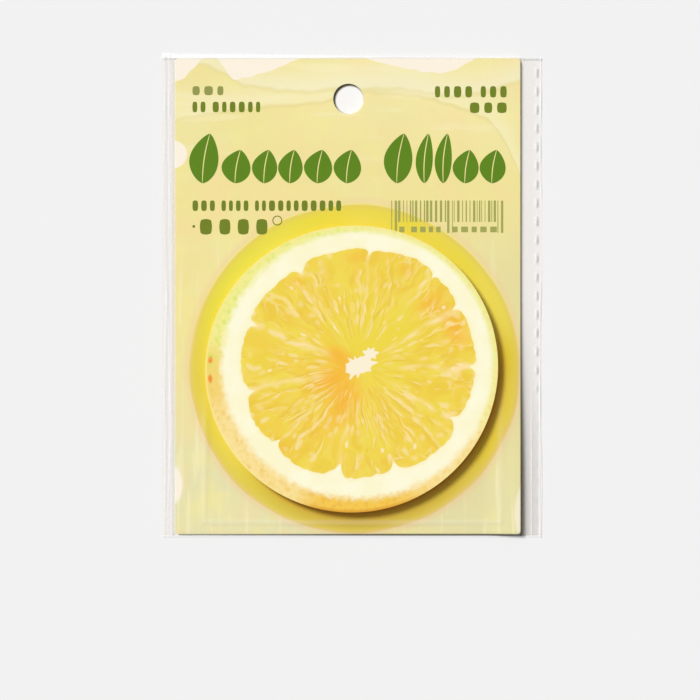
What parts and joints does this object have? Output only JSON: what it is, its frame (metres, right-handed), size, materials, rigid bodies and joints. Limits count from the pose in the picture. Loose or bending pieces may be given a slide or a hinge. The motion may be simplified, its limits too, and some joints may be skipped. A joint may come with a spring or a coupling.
{
  "type": "packaged sticky note pad",
  "caption": "Round pad of sticky notes printed as a citrus slice, on a printed hang card with a round hook hole, in a clear film bag with a perforated side weld.",
  "frame": {"origin": "middle of the bag's rectangular outline, on the surface that the pack lies on", "axes": "+Z out of the printed front, +Y towards the hang hole, +X to the right as seen from the front, on the side of the perforated weld"},
  "size_m": [0.1, 0.127, 0.004],
  "materials": {
    "film": "clear glossy polypropylene film, about 0.04 mm thick, with soft creases and a perforated weld",
    "card": "printed and lightly coated paperboard, pale yellow with a darker fruit disc",
    "paper": "printed uncoated note paper in thin sheets, golden citrus slice with a cream rim"
  },
  "bodies": {
    "root": {"clear_bag": "film", "backing_card": "card", "note_pad": "paper"}
  },
  "joints": []
}
